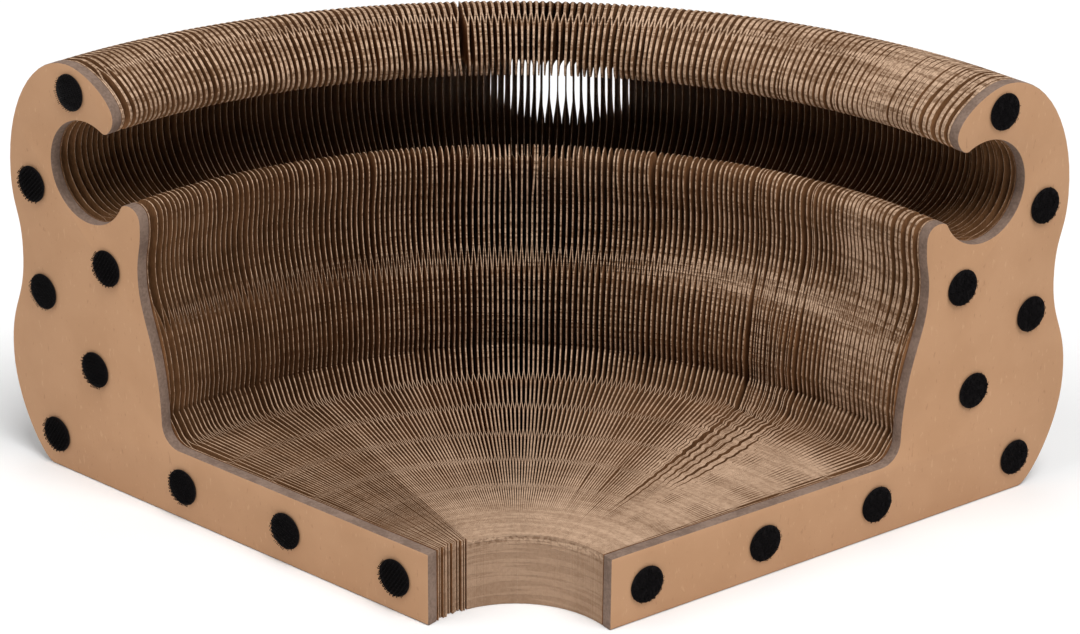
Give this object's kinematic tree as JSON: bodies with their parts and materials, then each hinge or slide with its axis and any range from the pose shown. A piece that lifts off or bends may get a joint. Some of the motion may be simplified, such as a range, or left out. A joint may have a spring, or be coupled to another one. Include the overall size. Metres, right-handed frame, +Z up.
{
  "type": "cat scratcher",
  "caption": "Fold-out kraft paper cat scratcher lounge: a fan of die-cut leaves with a low floor, a curved wall and a ball track, between end boards that fasten into a ring.",
  "frame": {"origin": "on the floor, under the middle of the open fan's box", "axes": "+X from the left board to the right board, +Y from the inner ends of the leaves to the curved wall, +Z up"},
  "size_m": [0.43, 0.2488, 0.1775],
  "materials": {
    "kraft_leaf": "uncoated kraft paper, die-cut edges",
    "kraft_board": "kraft-faced board, grey-brown cut edge",
    "hook_fastener": "black plastic hooks",
    "loop_fastener": "black brushed loops"
  },
  "bodies": {
    "leaf_01": {"leaf_01": "kraft_leaf"},
    "leaf_02": {"leaf_02": "kraft_leaf"},
    "leaf_03": {"leaf_03": "kraft_leaf"},
    "leaf_04": {"leaf_04": "kraft_leaf"},
    "leaf_05": {"leaf_05": "kraft_leaf"},
    "leaf_06": {"leaf_06": "kraft_leaf"},
    "leaf_07": {"leaf_07": "kraft_leaf"},
    "leaf_08": {"leaf_08": "kraft_leaf"},
    "leaf_09": {"leaf_09": "kraft_leaf"},
    "leaf_10": {"leaf_10": "kraft_leaf"},
    "leaf_11": {"leaf_11": "kraft_leaf"},
    "leaf_12": {"leaf_12": "kraft_leaf"},
    "leaf_13": {"leaf_13": "kraft_leaf"},
    "leaf_14": {"leaf_14": "kraft_leaf"},
    "leaf_15": {"leaf_15": "kraft_leaf"},
    "leaf_16": {"leaf_16": "kraft_leaf"},
    "leaf_17": {"leaf_17": "kraft_leaf"},
    "leaf_18": {"leaf_18": "kraft_leaf"},
    "leaf_19": {"leaf_19": "kraft_leaf"},
    "leaf_20": {"leaf_20": "kraft_leaf"},
    "leaf_21": {"leaf_21": "kraft_leaf"},
    "leaf_22": {"leaf_22": "kraft_leaf"},
    "leaf_23": {"leaf_23": "kraft_leaf"},
    "leaf_24": {"leaf_24": "kraft_leaf"},
    "leaf_25": {"leaf_25": "kraft_leaf"},
    "leaf_26": {"leaf_26": "kraft_leaf"},
    "leaf_27": {"leaf_27": "kraft_leaf"},
    "leaf_28": {"leaf_28": "kraft_leaf"},
    "leaf_29": {"leaf_29": "kraft_leaf"},
    "leaf_30": {"leaf_30": "kraft_leaf"},
    "leaf_31": {"leaf_31": "kraft_leaf"},
    "leaf_32": {"leaf_32": "kraft_leaf"},
    "leaf_33": {"leaf_33": "kraft_leaf"},
    "leaf_34": {"leaf_34": "kraft_leaf"},
    "leaf_35": {"leaf_35": "kraft_leaf"},
    "leaf_36": {"leaf_36": "kraft_leaf"},
    "leaf_37": {"leaf_37": "kraft_leaf"},
    "left_board": {"left_board": "kraft_board", "hook_dot_1": "hook_fastener", "hook_dot_2": "hook_fastener", "hook_dot_3": "hook_fastener", "hook_dot_4": "hook_fastener", "hook_dot_5": "hook_fastener", "hook_dot_6": "hook_fastener", "hook_dot_7": "hook_fastener", "hook_dot_8": "hook_fastener", "hook_dot_9": "hook_fastener"},
    "right_board": {"right_board": "kraft_board", "loop_dot_1": "loop_fastener", "loop_dot_2": "loop_fastener", "loop_dot_3": "loop_fastener", "loop_dot_4": "loop_fastener", "loop_dot_5": "loop_fastener", "loop_dot_6": "loop_fastener", "loop_dot_7": "loop_fastener", "loop_dot_8": "loop_fastener", "loop_dot_9": "loop_fastener"}
  },
  "joints": [
    {"name": "fold_19_20", "type": "hinge", "parent": "leaf_19", "child": "leaf_20", "pos_m": [0.00095, -0.10558, 0], "axis": [0, 0, -1], "range_deg": [-2.79, 4.69]},
    {"name": "fold_20_21", "type": "hinge", "parent": "leaf_20", "child": "leaf_21", "pos_m": [0.00285, -0.10567, 0], "axis": [0, 0, -1], "range_deg": [-2.79, 4.69]},
    {"name": "fold_21_22", "type": "hinge", "parent": "leaf_21", "child": "leaf_22", "pos_m": [0.00474, -0.10585, 0], "axis": [0, 0, -1], "range_deg": [-2.79, 4.69]},
    {"name": "fold_22_23", "type": "hinge", "parent": "leaf_22", "child": "leaf_23", "pos_m": [0.00662, -0.10613, 0], "axis": [0, 0, -1], "range_deg": [-2.79, 4.69]},
    {"name": "fold_23_24", "type": "hinge", "parent": "leaf_23", "child": "leaf_24", "pos_m": [0.00848, -0.1065, 0], "axis": [0, 0, -1], "range_deg": [-2.79, 4.69]},
    {"name": "fold_24_25", "type": "hinge", "parent": "leaf_24", "child": "leaf_25", "pos_m": [0.01033, -0.10696, 0], "axis": [0, 0, -1], "range_deg": [-2.79, 4.69]},
    {"name": "fold_25_26", "type": "hinge", "parent": "leaf_25", "child": "leaf_26", "pos_m": [0.01215, -0.1075, 0], "axis": [0, 0, -1], "range_deg": [-2.79, 4.69]},
    {"name": "fold_26_27", "type": "hinge", "parent": "leaf_26", "child": "leaf_27", "pos_m": [0.01394, -0.10814, 0], "axis": [0, 0, -1], "range_deg": [-2.79, 4.69]},
    {"name": "fold_27_28", "type": "hinge", "parent": "leaf_27", "child": "leaf_28", "pos_m": [0.01569, -0.10886, 0], "axis": [0, 0, -1], "range_deg": [-2.79, 4.69]},
    {"name": "fold_28_29", "type": "hinge", "parent": "leaf_28", "child": "leaf_29", "pos_m": [0.01741, -0.10967, 0], "axis": [0, 0, -1], "range_deg": [-2.79, 4.69]},
    {"name": "fold_29_30", "type": "hinge", "parent": "leaf_29", "child": "leaf_30", "pos_m": [0.01909, -0.11056, 0], "axis": [0, 0, -1], "range_deg": [-2.79, 4.69]},
    {"name": "fold_30_31", "type": "hinge", "parent": "leaf_30", "child": "leaf_31", "pos_m": [0.02073, -0.11153, 0], "axis": [0, 0, -1], "range_deg": [-2.79, 4.69]},
    {"name": "fold_31_32", "type": "hinge", "parent": "leaf_31", "child": "leaf_32", "pos_m": [0.02231, -0.11258, 0], "axis": [0, 0, -1], "range_deg": [-2.79, 10.81]},
    {"name": "fold_32_33", "type": "hinge", "parent": "leaf_32", "child": "leaf_33", "pos_m": [0.02384, -0.1137, 0], "axis": [0, 0, -1], "range_deg": [-2.79, 10.81]},
    {"name": "fold_33_34", "type": "hinge", "parent": "leaf_33", "child": "leaf_34", "pos_m": [0.02532, -0.1149, 0], "axis": [0, 0, -1], "range_deg": [-2.79, 10.81]},
    {"name": "fold_34_35", "type": "hinge", "parent": "leaf_34", "child": "leaf_35", "pos_m": [0.02673, -0.11617, 0], "axis": [0, 0, -1], "range_deg": [-2.79, 10.81]},
    {"name": "fold_35_36", "type": "hinge", "parent": "leaf_35", "child": "leaf_36", "pos_m": [0.02808, -0.1175, 0], "axis": [0, 0, -1], "range_deg": [-2.79, 10.81]},
    {"name": "fold_36_37", "type": "hinge", "parent": "leaf_36", "child": "leaf_37", "pos_m": [0.02937, -0.1189, 0], "axis": [0, 0, -1], "range_deg": [-2.79, 10.81]},
    {"name": "right_board_fold", "type": "hinge", "parent": "leaf_37", "child": "right_board", "pos_m": [0.03058, -0.12036, 0], "axis": [0, 0, -1], "range_deg": [-1.74, 6.76]},
    {"name": "fold_18_19", "type": "hinge", "parent": "leaf_19", "child": "leaf_18", "pos_m": [-0.00095, -0.10558, 0], "axis": [0, 0, 1], "range_deg": [-2.79, 4.69]},
    {"name": "fold_17_18", "type": "hinge", "parent": "leaf_18", "child": "leaf_17", "pos_m": [-0.00285, -0.10567, 0], "axis": [0, 0, 1], "range_deg": [-2.79, 4.69]},
    {"name": "fold_16_17", "type": "hinge", "parent": "leaf_17", "child": "leaf_16", "pos_m": [-0.00474, -0.10585, 0], "axis": [0, 0, 1], "range_deg": [-2.79, 4.69]},
    {"name": "fold_15_16", "type": "hinge", "parent": "leaf_16", "child": "leaf_15", "pos_m": [-0.00662, -0.10613, 0], "axis": [0, 0, 1], "range_deg": [-2.79, 4.69]},
    {"name": "fold_14_15", "type": "hinge", "parent": "leaf_15", "child": "leaf_14", "pos_m": [-0.00848, -0.1065, 0], "axis": [0, 0, 1], "range_deg": [-2.79, 4.69]},
    {"name": "fold_13_14", "type": "hinge", "parent": "leaf_14", "child": "leaf_13", "pos_m": [-0.01033, -0.10696, 0], "axis": [0, 0, 1], "range_deg": [-2.79, 4.69]},
    {"name": "fold_12_13", "type": "hinge", "parent": "leaf_13", "child": "leaf_12", "pos_m": [-0.01215, -0.1075, 0], "axis": [0, 0, 1], "range_deg": [-2.79, 4.69]},
    {"name": "fold_11_12", "type": "hinge", "parent": "leaf_12", "child": "leaf_11", "pos_m": [-0.01394, -0.10814, 0], "axis": [0, 0, 1], "range_deg": [-2.79, 4.69]},
    {"name": "fold_10_11", "type": "hinge", "parent": "leaf_11", "child": "leaf_10", "pos_m": [-0.01569, -0.10886, 0], "axis": [0, 0, 1], "range_deg": [-2.79, 4.69]},
    {"name": "fold_09_10", "type": "hinge", "parent": "leaf_10", "child": "leaf_09", "pos_m": [-0.01741, -0.10967, 0], "axis": [0, 0, 1], "range_deg": [-2.79, 4.69]},
    {"name": "fold_08_09", "type": "hinge", "parent": "leaf_09", "child": "leaf_08", "pos_m": [-0.01909, -0.11056, 0], "axis": [0, 0, 1], "range_deg": [-2.79, 4.69]},
    {"name": "fold_07_08", "type": "hinge", "parent": "leaf_08", "child": "leaf_07", "pos_m": [-0.02073, -0.11153, 0], "axis": [0, 0, 1], "range_deg": [-2.79, 4.69]},
    {"name": "fold_06_07", "type": "hinge", "parent": "leaf_07", "child": "leaf_06", "pos_m": [-0.02231, -0.11258, 0], "axis": [0, 0, 1], "range_deg": [-2.79, 10.81]},
    {"name": "fold_05_06", "type": "hinge", "parent": "leaf_06", "child": "leaf_05", "pos_m": [-0.02384, -0.1137, 0], "axis": [0, 0, 1], "range_deg": [-2.79, 10.81]},
    {"name": "fold_04_05", "type": "hinge", "parent": "leaf_05", "child": "leaf_04", "pos_m": [-0.02532, -0.1149, 0], "axis": [0, 0, 1], "range_deg": [-2.79, 10.81]},
    {"name": "fold_03_04", "type": "hinge", "parent": "leaf_04", "child": "leaf_03", "pos_m": [-0.02673, -0.11617, 0], "axis": [0, 0, 1], "range_deg": [-2.79, 10.81]},
    {"name": "fold_02_03", "type": "hinge", "parent": "leaf_03", "child": "leaf_02", "pos_m": [-0.02808, -0.1175, 0], "axis": [0, 0, 1], "range_deg": [-2.79, 10.81]},
    {"name": "fold_01_02", "type": "hinge", "parent": "leaf_02", "child": "leaf_01", "pos_m": [-0.02937, -0.1189, 0], "axis": [0, 0, 1], "range_deg": [-2.79, 10.81]},
    {"name": "left_board_fold", "type": "hinge", "parent": "leaf_01", "child": "left_board", "pos_m": [-0.03058, -0.12036, 0], "axis": [0, 0, 1], "range_deg": [-1.74, 6.76]}
  ],
  "couplings": [
    {"joint": "fold_20_21", "follows": "fold_19_20", "ratio": 1},
    {"joint": "fold_21_22", "follows": "fold_19_20", "ratio": 1},
    {"joint": "fold_22_23", "follows": "fold_19_20", "ratio": 1},
    {"joint": "fold_23_24", "follows": "fold_19_20", "ratio": 1},
    {"joint": "fold_24_25", "follows": "fold_19_20", "ratio": 1},
    {"joint": "fold_25_26", "follows": "fold_19_20", "ratio": 1},
    {"joint": "fold_26_27", "follows": "fold_19_20", "ratio": 1},
    {"joint": "fold_27_28", "follows": "fold_19_20", "ratio": 1},
    {"joint": "fold_28_29", "follows": "fold_19_20", "ratio": 1},
    {"joint": "fold_29_30", "follows": "fold_19_20", "ratio": 1},
    {"joint": "fold_30_31", "follows": "fold_19_20", "ratio": 1},
    {"joint": "fold_32_33", "follows": "fold_31_32", "ratio": 1},
    {"joint": "fold_33_34", "follows": "fold_31_32", "ratio": 1},
    {"joint": "fold_34_35", "follows": "fold_31_32", "ratio": 1},
    {"joint": "fold_35_36", "follows": "fold_31_32", "ratio": 1},
    {"joint": "fold_36_37", "follows": "fold_31_32", "ratio": 1},
    {"joint": "right_board_fold", "follows": "fold_31_32", "ratio": 0.625},
    {"joint": "fold_18_19", "follows": "fold_19_20", "ratio": 1},
    {"joint": "fold_17_18", "follows": "fold_19_20", "ratio": 1},
    {"joint": "fold_16_17", "follows": "fold_19_20", "ratio": 1},
    {"joint": "fold_15_16", "follows": "fold_19_20", "ratio": 1},
    {"joint": "fold_14_15", "follows": "fold_19_20", "ratio": 1},
    {"joint": "fold_13_14", "follows": "fold_19_20", "ratio": 1},
    {"joint": "fold_12_13", "follows": "fold_19_20", "ratio": 1},
    {"joint": "fold_11_12", "follows": "fold_19_20", "ratio": 1},
    {"joint": "fold_10_11", "follows": "fold_19_20", "ratio": 1},
    {"joint": "fold_09_10", "follows": "fold_19_20", "ratio": 1},
    {"joint": "fold_08_09", "follows": "fold_19_20", "ratio": 1},
    {"joint": "fold_07_08", "follows": "fold_19_20", "ratio": 1},
    {"joint": "fold_05_06", "follows": "fold_06_07", "ratio": 1},
    {"joint": "fold_04_05", "follows": "fold_06_07", "ratio": 1},
    {"joint": "fold_03_04", "follows": "fold_06_07", "ratio": 1},
    {"joint": "fold_02_03", "follows": "fold_06_07", "ratio": 1},
    {"joint": "fold_01_02", "follows": "fold_06_07", "ratio": 1},
    {"joint": "left_board_fold", "follows": "fold_06_07", "ratio": 0.625}
  ]
}
